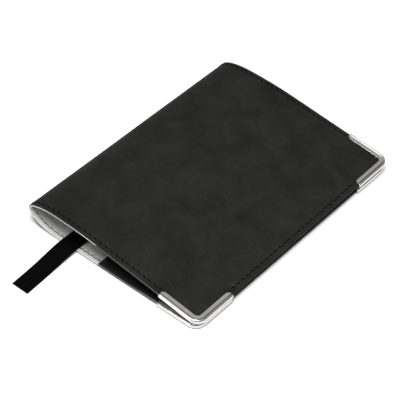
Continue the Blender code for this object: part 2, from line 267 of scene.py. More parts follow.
def make_outlines():
    angle = np.linspace(0, math.pi / 2, 600)
    across = FOLD_DEPTH * (1 - np.cos(angle))
    lower = np.stack([across, NOSE_HEIGHT * (1 - np.sin(angle))], 1)
    upper = np.stack([across, NOSE_HEIGHT + (FOLD_HEIGHT - NOSE_HEIGHT) * np.sin(angle)], 1)
    flat = np.linspace(FOLD_DEPTH, COVER_WIDTH, 800)[1:]
    rise = FORE_RISE * smoothstep((flat - RISE_START) / (RISE_END - RISE_START))
    back = np.vstack([lower, np.stack([flat, rise], 1)])
    flat = np.linspace(FOLD_DEPTH, FRONT_WIDTH, 800)[1:]
    bend = FRONT_PANEL_START - FOLD_DEPTH
    drop = (np.minimum(flat - FOLD_DEPTH, bend) ** 2 / (2 * bend)
            + np.maximum(flat - FRONT_PANEL_START, 0))
    top = FOLD_HEIGHT - FRONT_PANEL_SLOPE * drop
    return {"back": Outline(back, -1),
            "front": Outline(np.vstack([upper, np.stack([flat, top], 1)]), 1)}


OUTLINES = make_outlines()


def place(profile, y):
    """Points of the object from (from the nose, height) and y."""
    return np.stack([SPINE_X + profile[..., 0], np.broadcast_to(y, profile.shape[:-1]),
                     profile[..., 1]], -1)


def lift_front(points):
    """The slight extra opening of the front cover, more at its rear end."""
    share = np.maximum(points[..., 0] - SPINE_X - FOLD_DEPTH, 0) / (COVER_WIDTH - FOLD_DEPTH)
    rear = (points[..., 1] - FRONT_Y) / COVER_LENGTH
    lifted = points.copy()
    lifted[..., 2] += share * (FORE_LIFT_FRONT + (FORE_LIFT_REAR - FORE_LIFT_FRONT) * rear)
    return lifted


# Making meshes and pieces

def add_piece(name, mesh, *materials):
    piece = bpy.data.objects.new(name, mesh)
    bpy.context.scene.collection.objects.link(piece)
    for each in materials:
        mesh.materials.append(each)
    if len(materials) == 1:
        mesh.polygons.foreach_set("material_index", [0] * len(mesh.polygons))
    return piece


def smooth(mesh, degrees=38):
    mesh.shade_smooth()
    mesh.set_sharp_from_angle(angle=math.radians(degrees))


def edge_distance(along, y, start, end, radius):
    """From each point in to the cut edge of a sheet whose two fore corners are rounded."""
    from_end = end - along
    from_side = HALF_LENGTH - np.abs(y)
    nearest = np.minimum(from_end, from_side)
    if start is not None:
        nearest = np.minimum(nearest, along - start)
    round_part = (from_end < radius) & (from_side < radius)
    arc = radius - np.hypot(radius - from_end, radius - from_side)
    return np.where(round_part, arc, nearest)


def roll(distance, radius):
    """How far a face drops where its edge is rounded over."""
    inside = np.clip(radius - distance, 0, radius)
    return radius - np.sqrt(radius * radius - inside * inside)


# How far in from a cut edge the first stations lie
EDGE_STEPS = np.array([0, 0.05, 0.12, 0.22, 0.4, 0.7, 1.1, 1.4, 1.65, 1.9, 2.2, 2.5, 2.75, 3.0,
                       3.4, 4.0, 4.8]) * MM


def edge_to_edge(start, end, step, dense_start, dense_end):
    """Stations from start to end, closer together near the edges that are asked for."""
    first = start + EDGE_STEPS if dense_start else np.array([start])
    last = end - EDGE_STEPS[::-1] if dense_end else np.array([end])
    count = max(int(round((last[0] - first[-1]) / step)), 1)
    middle = np.linspace(first[-1], last[0], count + 1)[1:-1]
    return np.concatenate([first, middle, last])


def closed_sheet(name, top, bottom, flat, flip=False):
    """A closed mesh of two grids of points joined round their rims, with its flat pattern as a
    UV map. The top's faces come first, then the bottom's and then the rim's."""
    count, wide = top.shape[:2]
    ids = np.arange(count * wide).reshape(count, wide)
    quads = np.stack([ids[:-1, :-1], ids[1:, :-1], ids[1:, 1:], ids[:-1, 1:]], -1).reshape(-1, 4)
    rim = np.concatenate([ids[0, :], ids[1:, -1], ids[-1, -2::-1], ids[-2:0:-1, 0]])
    following = np.roll(rim, -1)
    faces = np.concatenate([quads, quads[:, ::-1] + ids.size,
                            np.stack([rim, following, following + ids.size, rim + ids.size], 1)])
    if flip:
        faces = faces[:, ::-1]
    mesh = bpy.data.meshes.new(name)
    mesh.from_pydata(np.concatenate([top, bottom]).reshape(-1, 3).tolist(), [], faces.tolist())
    layer = mesh.uv_layers.new(name="flat")
    flat = np.tile(flat.reshape(-1, 2), (2, 1))
    layer.data.foreach_set("uv", flat[faces.reshape(-1)].astype(np.float32).reshape(-1))
    smooth(mesh)
    return mesh


def sheet_mesh(name, half, along, rows, outer, inner):
    """A closed sheet on one half's outline. outer and inner give each face's depth below the
    outline from (along, y, distance to the cut edge)."""
    cover, outline = settings("cover"), OUTLINES[half]
    radius, end = cover.corner_radius, outline.length
    near = np.clip(radius - (end - along), 0, radius)
    width = HALF_LENGTH - (radius - np.sqrt(radius * radius - near * near))
    y = rows[None, :] / HALF_LENGTH * width[:, None]
    along_grid = np.broadcast_to(along[:, None], y.shape)
    start = None if along[0] == 0 else along[0]
    distance = edge_distance(along_grid, y, start, end, radius)
    sides = []
    for depth in (outer, inner):
        side = place(outline.at(along_grid, -depth(along_grid, y, distance)), y)
        sides.append(lift_front(side) if half == "front" else side)
    flat = np.stack([along_grid if half == "front" else -along_grid, y], -1)
    mesh = closed_sheet(name, *sides, flat, flip=half == "back")
    # The rim's faces along the two cut edges take the second material, and the third where
    # a flap is sewn in; the third is darker, partly for the flap's black layer and partly as
    # painted shade
    count, wide = y.shape
    rim_start = 2 * (count - 1) * (wide - 1)
    rear = np.arange(wide - 1, wide + count - 2)
    front = np.arange(2 * wide + count - 3, 2 * wide + 2 * count - 4)
    mouth = outline.along_at(cover.flap_mouth)
    index = np.zeros(len(mesh.polygons), np.int32)
    for ends, stations in ((rear, along[:-1]), (front, along[:0:-1])):
        index[rim_start + ends[:len(stations)]] = np.where(stations > mouth, 2, 1)
    mesh.polygons.foreach_set("material_index", index)
    return mesh


def row_stations(steps):
    return edge_to_edge(-HALF_LENGTH, HALF_LENGTH, steps["rows"], True, True)


def half_stations(half, steps):
    """Stations from the nose to the fore edge, close together round the fold."""
    outline = OUTLINES[half]
    bend_end = outline.along_at(FOLD_DEPTH + 8 * MM)
    fold = np.linspace(0, bend_end, int(bend_end / steps["fold"]))
    panel = edge_to_edge(bend_end, outline.length, steps["panel"], False, True)
    return np.concatenate([fold, panel[1:]])


def bend_half(piece):
    """Bake the half's placement into its mesh."""
    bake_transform(piece)


# Materials

def put(tree, value, socket):
    """Link a socket, or a node's first output, to a node's input; or set the input's value."""
    if isinstance(value, bpy.types.Node):
        value = value.outputs[0]
    if isinstance(value, bpy.types.NodeSocket):
        tree.links.new(value, socket)
    else:
        socket.default_value = value


def add_node(tree, kind, inputs=None, **values):
    """Add a node. values are its own settings, and inputs are as put takes them."""
    node = tree.nodes.new(kind)
    for key, value in values.items():
        setattr(node, key, value)
    for key, value in (inputs or {}).items():
        put(tree, value, node.inputs[key])
    return node


def new_material(name):
    material = bpy.data.materials.new(name)
    material.use_nodes = True
    return material, material.node_tree, material.node_tree.nodes["Principled BSDF"]


def finish(tree, shader, base, tone, relief, bump, roughness, specular, invert=False):
    """What the materials share: a base colour times its tone, a shine, and a relief with
    bump's strength and depth in millimetres."""
    toned = add_node(tree, "ShaderNodeMix", {0: 1.0, 6: base, 7: tone}, data_type="RGBA",
                     blend_type="MULTIPLY")
    strength, depth = bump
    bumped = add_node(tree, "ShaderNodeBump", {"Height": relief, "Strength": strength,
                                               "Distance": depth * MM}, invert=invert)
    for name, value in (("Base Color", toned.outputs[2]), ("Roughness", roughness),
                        ("Specular IOR Level", specular), ("Normal", bumped)):
        put(tree, value, shader.inputs[name])


def per_metre(millimetres):
    """A texture's scale for a pattern of that size."""
    return 1 / (millimetres * MM)


def bands(millimetres, turn=20):
    """A wave texture's scale for bands of that period. It turns 20 radians in a unit along an
    axis, and its diagonal bands 10."""
    return 2 * math.pi / turn * per_metre(millimetres)


def rgba(values):
    return (*values, 1.0)


def nubuck():
    """Polyurethane on a knitted backing, its face buffed to a nap: dark and matt, clouded where
    the nap lies differently, with fine lighter wisps where something brushed over it."""
    cover = settings("cover")
    material, tree, shader = new_material("buffed_nubuck_polyurethane")
    flat = add_node(tree, "ShaderNodeUVMap", uv_map="flat")
    clouds = add_node(tree, "ShaderNodeTexNoise",
                      {"Vector": flat, "Scale": per_metre(17), "Detail": 8.0,
                       "Roughness": 0.68, "Distortion": 0.5})
    cloud_share = add_node(tree, "ShaderNodeMapRange",
                           {"Value": clouds, "From Min": 0.33, "From Max": 0.68})
    ground = add_node(tree, "ShaderNodeMix",
                      {0: cloud_share, 6: rgba(cover.leather_dark),
                       7: rgba(cover.leather_light)}, data_type="RGBA")
    turned = add_node(tree, "ShaderNodeMapping",
                      {"Vector": flat, "Rotation": (0, 0, math.radians(35)),
                       "Scale": (1, 3.5, 1)})
    wisps = add_node(tree, "ShaderNodeTexNoise",
                     {"Vector": turned, "Scale": per_metre(14), "Detail": 7.0,
                      "Roughness": 0.68, "Distortion": 1.6})
    wisp_share = add_node(tree, "ShaderNodeMapRange",
                          {"Value": wisps, "From Min": 0.56, "From Max": 0.74,
                           "To Max": 0.42}, interpolation_type="SMOOTHSTEP")
    face = add_node(tree, "ShaderNodeMix",
                    {0: wisp_share, 6: ground.outputs[2], 7: rgba(cover.leather_scuff)},
                    data_type="RGBA")
    # Single fibres are about 0.02 mm; the nap is drawn at 0.35 mm so that it shows
    nap = add_node(tree, "ShaderNodeTexNoise",
                   {"Vector": flat, "Scale": per_metre(0.35), "Detail": 3.0, "Roughness": 0.7})
    speckle = add_node(tree, "ShaderNodeMapRange",
                       {"Value": nap, "From Min": 0.3, "From Max": 0.7,
                        "To Min": 0.75, "To Max": 1.25})
    rough = add_node(tree, "ShaderNodeMapRange",
                     {"Value": clouds, "From Min": 0.3, "From Max": 0.7,
                      "To Min": 0.86, "To Max": 0.68})
    finish(tree, shader, face.outputs[2], speckle, nap, (0.5, 0.08), rough, 0.16)
    shader.inputs["Sheen Weight"].default_value = 0.04
    shader.inputs["Sheen Roughness"].default_value = 0.5
    return material


def cut_edge_flap_and_shade():
    """The cut edge beyond a flap's mouth: darker for the flap's black layer, and darker still as
    painted shade.
    """
    return cut_edge("cut_backing_flap_and_painted_shade", settings("cover").edge_flap_and_shade)


def cut_edge(name="cut_knitted_backing", edge=None):
    """The leather's cut edge: its pale knitted backing, a little fuzzy and soiled."""
    edge = settings("cover").edge_colour if edge is None else edge
    material, tree, shader = new_material(name)
    where = add_node(tree, "ShaderNodeTexCoord").outputs["Object"]
    fuzz = add_node(tree, "ShaderNodeTexNoise",
                    {"Vector": where, "Scale": per_metre(0.6), "Detail": 4.0})
    shade = add_node(tree, "ShaderNodeMapRange",
                     {"Value": fuzz, "From Min": 0.3, "From Max": 0.7,
                      "To Min": 0.72, "To Max": 1.1})
    finish(tree, shader, rgba(edge), shade, fuzz, (0.5, 0.1), 0.95, 0.15)
    return material


def lining_textile():
    """Light grey non-stretch lining, closely woven: matt, with a grid of threads."""
    cover = settings("cover")
    material, tree, shader = new_material("woven_polyester_lining")
    flat = add_node(tree, "ShaderNodeUVMap", uv_map="flat")
    # Threads lie 0.15 mm apart; the grid is drawn at 3.77 mm so that it shows from afar
    threads = [add_node(tree, "ShaderNodeTexWave",
                        {"Vector": flat, "Scale": bands(3.77), "Distortion": 0.4,
                         "Detail": 1.0}, bands_direction=axis).outputs[1] for axis in "XY"]
    weave = add_node(tree, "ShaderNodeMath", {0: threads[0], 1: threads[1]}, operation="MAXIMUM")
    fuzz = add_node(tree, "ShaderNodeTexNoise",
                    {"Vector": flat, "Scale": per_metre(3), "Detail": 6.0, "Roughness": 0.65})
    mixed = add_node(tree, "ShaderNodeMath", {0: weave, 1: fuzz}, operation="MULTIPLY")
    shade = add_node(tree, "ShaderNodeMapRange",
                     {"Value": mixed, "From Min": 0.1, "From Max": 0.6,
                      "To Min": 0.86, "To Max": 1.04})
    finish(tree, shader, rgba(cover.lining_colour), shade, mixed, (0.5, 0.06), 0.9, 0.2)
    return material


def flap_leather():
    """Thin embossed polyurethane: black, half matt, with a fine pebble grain."""
    cover = settings("cover")
    material, tree, shader = new_material("embossed_black_polyurethane")
    flat = add_node(tree, "ShaderNodeUVMap", uv_map="flat")
    grain = add_node(tree, "ShaderNodeTexVoronoi", {"Vector": flat, "Scale": per_metre(0.7)},
                     feature="SMOOTH_F1")
    creases = add_node(tree, "ShaderNodeTexNoise",
                       {"Vector": flat, "Scale": per_metre(6), "Detail": 5.0})
    height = add_node(tree, "ShaderNodeMath", {0: grain, 1: creases}, operation="ADD")
    tone = add_node(tree, "ShaderNodeMapRange",
                    {"Value": height, "From Min": 0.5, "From Max": 1.4,
                     "To Min": 1.25, "To Max": 0.7})
    finish(tree, shader, rgba(cover.flap_colour), tone, height, (0.35, 0.08), 0.58, 0.35,
           invert=True)
    return material


def polished_nickel():
    """Stamped steel, polished and nickel plated: a clear reflection with faint polishing haze."""
    material, tree, shader = new_material("polished_nickel_plate")
    where = add_node(tree, "ShaderNodeTexCoord").outputs["Object"]
    haze = add_node(tree, "ShaderNodeTexNoise",
                    {"Vector": where, "Scale": per_metre(4), "Detail": 4.0})
    rough = add_node(tree, "ShaderNodeMapRange",
                     {"Value": haze, "From Min": 0.3, "From Max": 0.7,
                      "To Min": 0.1, "To Max": 0.2})
    bump = add_node(tree, "ShaderNodeBump", {"Height": haze, "Strength": 0.12,
                                             "Distance": 0.05 * MM})
    put(tree, rough, shader.inputs["Roughness"])
    put(tree, bump, shader.inputs["Normal"])
    shader.inputs["Base Color"].default_value = rgba(settings("corners").metal_colour)
    shader.inputs["Metallic"].default_value = 1.0
    return material


def sewing_thread():
    """Twisted polyester thread: black, with a slight gloss on its plies."""
    material, tree, shader = new_material("twisted_polyester_thread")
    where = add_node(tree, "ShaderNodeTexCoord").outputs["Object"]
    # A ply's turn is 0.4 mm long; its light and dark bands are drawn at 5.03 mm to show
    plies = add_node(tree, "ShaderNodeTexWave", {"Vector": where, "Scale": bands(5.03, 10)},
                     bands_direction="DIAGONAL").outputs[1]
    tone = add_node(tree, "ShaderNodeMapRange", {"Value": plies, "To Min": 0.7, "To Max": 1.3})
    finish(tree, shader, rgba(settings("seams").thread_colour), tone, plies, (0.4, 0.05), 0.7,
           0.12)
    return material


def painted_hole_shade():
    """Painted shade for the inside of a stitch hole: near black and matt. matt and almost without
    light.
    """
    material, tree, shader = new_material("needle_hole_shade")
    where = add_node(tree, "ShaderNodeTexCoord").outputs["Object"]
    fibres = add_node(tree, "ShaderNodeTexNoise",
                      {"Vector": where, "Scale": per_metre(0.4), "Detail": 2.0})
    shade = add_node(tree, "ShaderNodeMapRange",
                     {"Value": fibres, "To Min": 0.0, "To Max": 0.003})
    put(tree, shade, shader.inputs["Base Color"])
    shader.inputs["Roughness"].default_value = 1.0
    shader.inputs["Specular IOR Level"].default_value = 0.0
    return material


def satin():
    """Double-face polyester satin: black, its long floats giving a soft gloss across ribs."""
    material, tree, shader = new_material("polyester_satin_ribbon")
    flat = add_node(tree, "ShaderNodeUVMap", uv_map="flat")
    # Satin ribs lie about 0.2 mm apart; they are drawn at 3.14 mm so that they show
    ribs = add_node(tree, "ShaderNodeTexWave",
                    {"Vector": flat, "Scale": bands(3.14), "Distortion": 0.6,
                     "Detail": 2.0}, bands_direction="Y").outputs[1]
    sheen_bands = add_node(tree, "ShaderNodeTexNoise",
                           {"Vector": flat, "Scale": per_metre(9), "Detail": 4.0})
    tone = add_node(tree, "ShaderNodeMapRange", {"Value": ribs, "To Min": 0.75, "To Max": 1.3})
    rough = add_node(tree, "ShaderNodeMapRange",
                     {"Value": sheen_bands, "From Min": 0.3, "From Max": 0.7,
                      "To Min": 0.45, "To Max": 0.6})
    finish(tree, shader, rgba(settings("ribbon").ribbon_colour), tone, ribs, (0.4, 0.05), rough,
           0.04)
    return material


MATERIALS = {}


def material(maker):
    """Each material is made once."""
    if maker.__name__ not in MATERIALS:
        MATERIALS[maker.__name__] = maker()
    return MATERIALS[maker.__name__]


# The folded sheet

def seam_channel(distance, inset, depth, width=0.5 * MM):
    return depth * np.exp(-((distance - inset) / width) ** 2)


def undulation(along, y, size):
    """A shallow, smooth unevenness, the same on every run."""
    flat = np.stack([along, y], -1).reshape(-1, 2) / size
    values = [noise.noise(Vector((u, v, 0.5))) for u, v in flat]
    return np.array(values).reshape(y.shape)


class NOTEBOOK_OT_leather(bpy.types.Operator):
    """Build the leather sheet's two halves, which meet at the spine's nose"""
    bl_idname = "notebook.leather"
    bl_label = "Leather"

    def execute(self, context):
        cover, seams = settings("cover"), settings("seams")
        stands_for = {"back": ["back_cover_leather"],
                      "front": ["front_cover_leather", "spine_leather"]}
        rows = row_stations(LEATHER_STEPS)
        for half, nodes in stands_for.items():
            def outer(along, y, distance):
                dent = seam_channel(distance, seams.inset, seams.channel)
                turned = roll(end - along, TURN_RADIUS)
                calm = smoothstep((distance - CALM_EDGE) / CALM_RAMP)
                wave = WAVE_HEIGHT * undulation(along, y, WAVE_LENGTH) * calm
                cut = roll(distance, cover.edge_radius)
                return np.maximum(cut, turned) + dent - (wave if half == "front" else 0)

            def inner(along, y, distance):
                from_turn = end - along
                turned = 1 - smoothstep((from_turn - cover.turn_width + 0.2 * MM) / (0.2 * MM))
                depth = cover.leather + (cover.turn - cover.leather) * turned
                return depth - turned * roll(from_turn, TURN_RADIUS)
            end = OUTLINES[half].length
            along = half_stations(half, LEATHER_STEPS)
            mesh = sheet_mesh(half + "_leather", half, along, rows, outer, inner)
            piece = add_piece(half + "_leather_sheet", mesh, material(nubuck),
                              material(cut_edge), material(cut_edge_flap_and_shade))
            bend_half(piece)
            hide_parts(*nodes)
        return {"FINISHED"}


class NOTEBOOK_OT_lining(bpy.types.Operator):
    """Build the lining's two halves inside the leather"""
    bl_idname = "notebook.lining"
    bl_label = "Lining"

    def execute(self, context):
        cover, seams = settings("cover"), settings("seams")
        stands_for = {"back": ["back_lining"], "front": ["front_lining", "spine_lining"]}
        rows = row_stations(LINING_STEPS)
        for half, nodes in stands_for.items():
            def outer(along, y, distance):
                return np.full(y.shape, cover.leather + 0.01 * MM)

            def inner(along, y, distance):
                dent = seam_channel(distance, seams.inset, 0.12 * MM)
                return cover.leather + cover.lining - roll(distance, 0.12 * MM) - dent
            along = half_stations(half, LINING_STEPS)
            along = along[along < OUTLINES[half].length - cover.turn_width]
            mesh = sheet_mesh(half + "_lining", half, along, rows, outer, inner)
            piece = add_piece(half + "_lining_sheet", mesh, material(lining_textile),
                              material(lining_textile), material(cut_edge_flap_and_shade))
            bend_half(piece)
            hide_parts(*nodes)
        return {"FINISHED"}


def flap_depth(cover, from_mouth):
    """How deep a flap's free face lies: its turned-in hem is two layers thick."""
    base = cover.leather + cover.lining + cover.flap + LAYER_GAP
    return base + HEM_RISE * (1 - smoothstep((from_mouth - cover.hem) / HEM_RAMP))


class NOTEBOOK_OT_flaps(bpy.types.Operator):
    """Build the two pocket flaps with their turned-in mouths"""
    bl_idname = "notebook.flaps"
    bl_label = "Pocket flaps"

    def execute(self, context):
        cover, seams = settings("cover"), settings("seams")
        rows = row_stations(LINING_STEPS)
        for half in ("back", "front"):
            start = OUTLINES[half].along_at(cover.flap_mouth)
            end = OUTLINES[half].length
            turn = end - cover.turn_width

            def outer(along, y, distance):
                return (cover.leather + cover.lining + LAYER_GAP
                        + 0.5 * roll(along - start, 0.3 * MM))

            def inner(along, y, distance):
                from_edge = np.where(along - start < 10 * MM, HALF_LENGTH - np.abs(y), distance)
                dent = seam_channel(from_edge, seams.inset, 0.1 * MM)
                hem_seam = seam_channel(along - start, seams.hem_inset, 0.14 * MM)
                to_turn = 0.2 * MM * smoothstep(1 - (turn - along) / (3 * MM))
                return (flap_depth(cover, along - start) - roll(distance, 0.14 * MM)
                        - 0.6 * roll(along - start, 0.35 * MM) - dent - hem_seam + to_turn)
            along = edge_to_edge(start, turn, FLAP_STEP, True, False)
            mesh = sheet_mesh(half + "_flap", half, along, rows, outer, inner)
            piece = add_piece(half + "_flap_sheet", mesh, material(flap_leather),
                              material(flap_leather), material(cut_edge_flap_and_shade))
            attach(piece, half + "_cover")
            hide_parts(half + "_pocket_flap")
        return {"FINISHED"}


# Metal corners

def corner_section(corners):
    """Pairs of an outer and an inner point, (outwards, up), from the upper flange's end round
    the bead to the lower flange's end."""
    face, slot = corners.flange_rise, STACK / 2 - 0.02 * MM
    tip = -corners.flange
    upper = [(tip, face - 0.12 * MM), (tip + 0.03 * MM, face - 0.04 * MM),
             (tip + 0.1 * MM, face), *((tip + (GROOVE - tip) * t, face) for t in (0.1, 0.5, 0.9)),
             (GROOVE, face), (GROOVE + 0.04 * MM, face - 0.16 * MM),
             (GROOVE + 0.3 * MM, face - 0.1 * MM), (GROOVE + 0.5 * MM, face - 0.01 * MM)]
    middle = corners.bead_reach - corners.bead_width
    angles = np.linspace(math.radians(105), math.radians(-105), 25)
    bead = [(middle + corners.bead_width * math.cos(a), corners.bead * math.sin(a))
            for a in angles]
    outer = upper + bead + [(o, -h) for o, h in upper[::-1]]
    inner = []
    for o, h in outer:
        inner.append((min(o, 0.06 * MM), math.copysign(slot, h) if o < middle
                      else slot * max(-1, min(1, h / corners.bead))))
    return np.array(outer), np.array(inner)


def corner_mesh(name, half, side):
    """One corner: the section carried along both edges and round the cover's corner."""
    corners, cover = settings("corners"), settings("cover")
    radius = cover.corner_radius
    outer, inner = corner_section(corners)
    ends = np.array([0, 0.02, 0.07, 0.16, 0.3, 0.5, 0.8, 1.1, 1.5, 1.9, 2.3]) * MM
    straight = corners.leg - radius
    steps = np.concatenate([ends, np.linspace(ends[-1], straight, 7)[1:]])
    stations = [(s, Vector((-corners.leg + s, side * HALF_LENGTH)), Vector((0, side)))
                for s in steps]
    for a in np.linspace(0, math.pi / 2, 19)[1:-1]:
        out = Vector((math.sin(a), side * math.cos(a)))
        middle = Vector((-radius, side * (HALF_LENGTH - radius)))
        stations.append((straight, middle + out * radius, out))
    stations += [(s, Vector((0, side * (HALF_LENGTH - corners.leg + s))), Vector((1, 0)))
                 for s in steps[::-1]]
    points = []
    for from_end, spot, out in stations:
        near = max(corners.end_radius - from_end, 0)
        cut = corners.end_radius - math.sqrt(corners.end_radius ** 2 - near ** 2)
        squeeze = (corners.flange + GROOVE - cut) / (corners.flange + GROOVE)
        shrink = 0.06 * MM * max(1 - from_end / (0.07 * MM), 0) ** 2
        taper = 0.16 * MM * max(1 - from_end / (0.8 * MM), 0) ** 2
        for (o, h), (io, ih) in zip(outer, inner):
            pair = []
            for across, up in ((o, h), (io, ih)):
                if across < GROOVE:
                    across = GROOVE + (across - GROOVE) * squeeze
                pair.append(Vector((across, up)))
            to_inner = pair[1] - pair[0]
            inset = shrink + (taper if o > GROOVE else 0)
            pair[0] += to_inner * min(inset / to_inner.length, 0.45)
            for across, up in pair:
                points.append((*(spot + out * across), up))
    count, pairs = len(stations), len(outer)
    points = np.array(points).reshape(count, pairs, 2, 3)
    ids = np.arange(count * pairs * 2).reshape(count, pairs, 2)
    loop = np.concatenate([ids[:, :, 0], ids[:, ::-1, 1]], 1)
    ring = np.roll(loop, -1, axis=1)
    faces = np.stack([loop[:-1], loop[1:], ring[1:], ring[:-1]], -1).reshape(-1, 4)
    caps = [np.stack([ids[k, :-1, 0], ids[k, 1:, 0], ids[k, 1:, 1], ids[k, :-1, 1]], -1)
            [:, ::order] for k, order in ((0, 1), (-1, -1))]
    faces = np.concatenate([faces, *caps])
    if side > 0:
        faces = faces[:, ::-1]
    mesh = bpy.data.meshes.new(name)
    mesh.from_pydata(points.reshape(-1, 3).tolist(), [], faces.tolist())
    lean = math.atan(FRONT_PANEL_SLOPE) if half == "front" else 0.0
    inwards = 1 if half == "back" else -1
    normal = Vector((math.sin(lean), 0, math.cos(lean)))
    distance, height = OUTLINES[half].points[-1]
    middle = Vector((SPINE_X + distance, 0, height)) + normal * (inwards * STACK / 2)
    mesh.transform(Matrix.Translation(middle) @ Matrix.Rotation(lean, 4, "Y"))
    if half == "front":
        flat = np.array([v.co for v in mesh.vertices])
        mesh.vertices.foreach_set("co", lift_front(flat).astype(np.float32).reshape(-1))
    smooth(mesh, 50)
    return mesh


class NOTEBOOK_OT_corners(bpy.types.Operator):
    """Build the four metal corners"""
    bl_idname = "notebook.corners"
    bl_label = "Metal corners"

    def execute(self, context):
        for half in ("back", "front"):
            for end, side in (("front", -1), ("rear", 1)):
                name = f"{half}_corner_{end}"
                mesh = corner_mesh(name, half, side)
                piece = add_piece(name + "_plate", mesh, material(polished_nickel))
                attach(piece, half + "_cover")
                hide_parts(name)
        return {"FINISHED"}


# Stitches

def stitch_tree():
    """A tree that lays one bent stitch on each step of the seam lines it is given."""
    tree = bpy.data.node_groups.new("seam_stitches", "GeometryNodeTree")
    face = tree.interface
    face.new_socket("Geometry", in_out="INPUT", socket_type="NodeSocketGeometry")
    for name in ("Pitch", "Stitch length", "Thread radius", "Dip", "Slant", "Jitter",
                 "Hole radius"):
        face.new_socket(name, in_out="INPUT", socket_type="NodeSocketFloat")
    face.new_socket("Seed", in_out="INPUT", socket_type="NodeSocketInt")
    face.new_socket("Thread", in_out="INPUT", socket_type="NodeSocketMaterial")
    # The Hole material is painted shade for the needle holes
    face.new_socket("Hole", in_out="INPUT", socket_type="NodeSocketMaterial")
    face.new_socket("Geometry", in_out="OUTPUT", socket_type="NodeSocketGeometry")
    given = add_node(tree, "NodeGroupInput").outputs

    line = add_node(tree, "GeometryNodeMeshToCurve", {0: given["Geometry"]})
    steps = add_node(tree, "GeometryNodeResampleCurve",
                     {"Curve": line, "Length": given["Pitch"]}, mode="LENGTH")
    normal = add_node(tree, "GeometryNodeInputNamedAttribute", {"Name": "seam_normal"},
                      data_type="FLOAT_VECTOR")
    tangent = add_node(tree, "GeometryNodeInputTangent")
    lie = add_node(tree, "FunctionNodeAxesToRotation",
                   {"Primary Axis": normal.outputs["Attribute"],
                    "Secondary Axis": tangent}, primary_axis="Z", secondary_axis="X")
    less = add_node(tree, "ShaderNodeMath", {0: given["Jitter"], 1: -1.0}, operation="MULTIPLY")
    jitter = add_node(tree, "FunctionNodeRandomValue",
                      {2: less, 3: given["Jitter"], "Seed": given["Seed"]},
                      data_type="FLOAT")
    turn = add_node(tree, "ShaderNodeMath", {0: given["Slant"], 1: jitter.outputs[1]},
                    operation="ADD")
    turn_vector = add_node(tree, "ShaderNodeCombineXYZ", {"Z": turn})
    turned = add_node(tree, "FunctionNodeRotateRotation",
                      {"Rotation": lie,
                       "Rotate By": add_node(tree, "FunctionNodeEulerToRotation",
                                             {0: turn_vector})},
                      rotation_space="LOCAL")

    rod = add_node(tree, "GeometryNodeMeshCylinder",
                   {"Vertices": 6, "Side Segments": 6, "Radius": given["Thread radius"],
                    "Depth": given["Stitch length"]}, fill_type="NGON")
    laid = add_node(tree, "GeometryNodeTransform",
                    {"Geometry": rod.outputs["Mesh"], "Rotation": (0, math.pi / 2, 0)})
    spot = add_node(tree, "ShaderNodeSeparateXYZ",
                    {0: add_node(tree, "GeometryNodeInputPosition")})
    share = add_node(tree, "ShaderNodeMath", {0: spot.outputs["X"],
                                              1: given["Stitch length"]}, operation="DIVIDE")
    doubled = add_node(tree, "ShaderNodeMath", {0: share, 1: 2.0}, operation="MULTIPLY")
    fourth = add_node(tree, "ShaderNodeMath", {0: doubled, 1: 4.0}, operation="POWER")
    slim = add_node(tree, "ShaderNodeMath", {0: fourth, 1: -0.4, 2: 1.0},
                    operation="MULTIPLY_ADD")
    sink = add_node(tree, "ShaderNodeMath", {0: fourth, 1: given["Dip"]},
                    operation="MULTIPLY")
    slim_y = add_node(tree, "ShaderNodeMath", {0: spot.outputs["Y"], 1: slim},
                      operation="MULTIPLY")
    slim_z = add_node(tree, "ShaderNodeMath", {0: spot.outputs["Z"], 1: slim},
                      operation="MULTIPLY")
    sunk = add_node(tree, "ShaderNodeMath", {0: slim_z, 1: sink},
                    operation="SUBTRACT")
    bent = add_node(tree, "GeometryNodeSetPosition",
                    {"Geometry": laid,
                     "Position": add_node(tree, "ShaderNodeCombineXYZ",
                                          {"X": spot.outputs["X"], "Y": slim_y,
                                           "Z": sunk})})
    # The hole at each end of a stitch: a shallow near-black disc, painted shade for the hole
    shade_disc = add_node(tree, "GeometryNodeMeshCylinder",
                    {"Vertices": 8, "Radius": given["Hole radius"], "Depth": SHADE_DISC_DEPTH},
                    fill_type="NGON")
    whole = add_node(tree, "GeometryNodeJoinGeometry")
    marked = add_node(tree, "GeometryNodeStoreNamedAttribute",
                      {"Geometry": bent, "Name": "is_thread", "Value": True},
                      data_type="BOOLEAN", domain="FACE")
    tree.links.new(marked.outputs[0], whole.inputs[0])
    for end in (-0.5, 0.5):
        reach = add_node(tree, "ShaderNodeMath", {0: given["Stitch length"], 1: end},
                         operation="MULTIPLY")
        offset = add_node(tree, "ShaderNodeCombineXYZ", {"X": reach, "Z": -SHADE_DISC_SINK})
        hole = add_node(tree, "GeometryNodeTransform",
                        {"Geometry": shade_disc.outputs["Mesh"], "Translation": offset})
        tree.links.new(hole.outputs[0], whole.inputs[0])
    sewn = add_node(tree, "GeometryNodeInstanceOnPoints",
                    {"Points": steps, "Instance": whole,
                     "Rotation": turned})
    solid = add_node(tree, "GeometryNodeRealizeInstances", {0: sewn})
    holes_shaded = add_node(tree, "GeometryNodeSetMaterial",
                       {"Geometry": solid, "Material": given["Hole"]})
    is_thread = add_node(tree, "GeometryNodeInputNamedAttribute", {"Name": "is_thread"},
                         data_type="BOOLEAN")
    shown = add_node(tree, "GeometryNodeSetMaterial",
                     {"Geometry": holes_shaded, "Material": given["Thread"],
                      "Selection": is_thread.outputs["Attribute"]})
    add_node(tree, "NodeGroupOutput", {"Geometry": shown})
    return tree


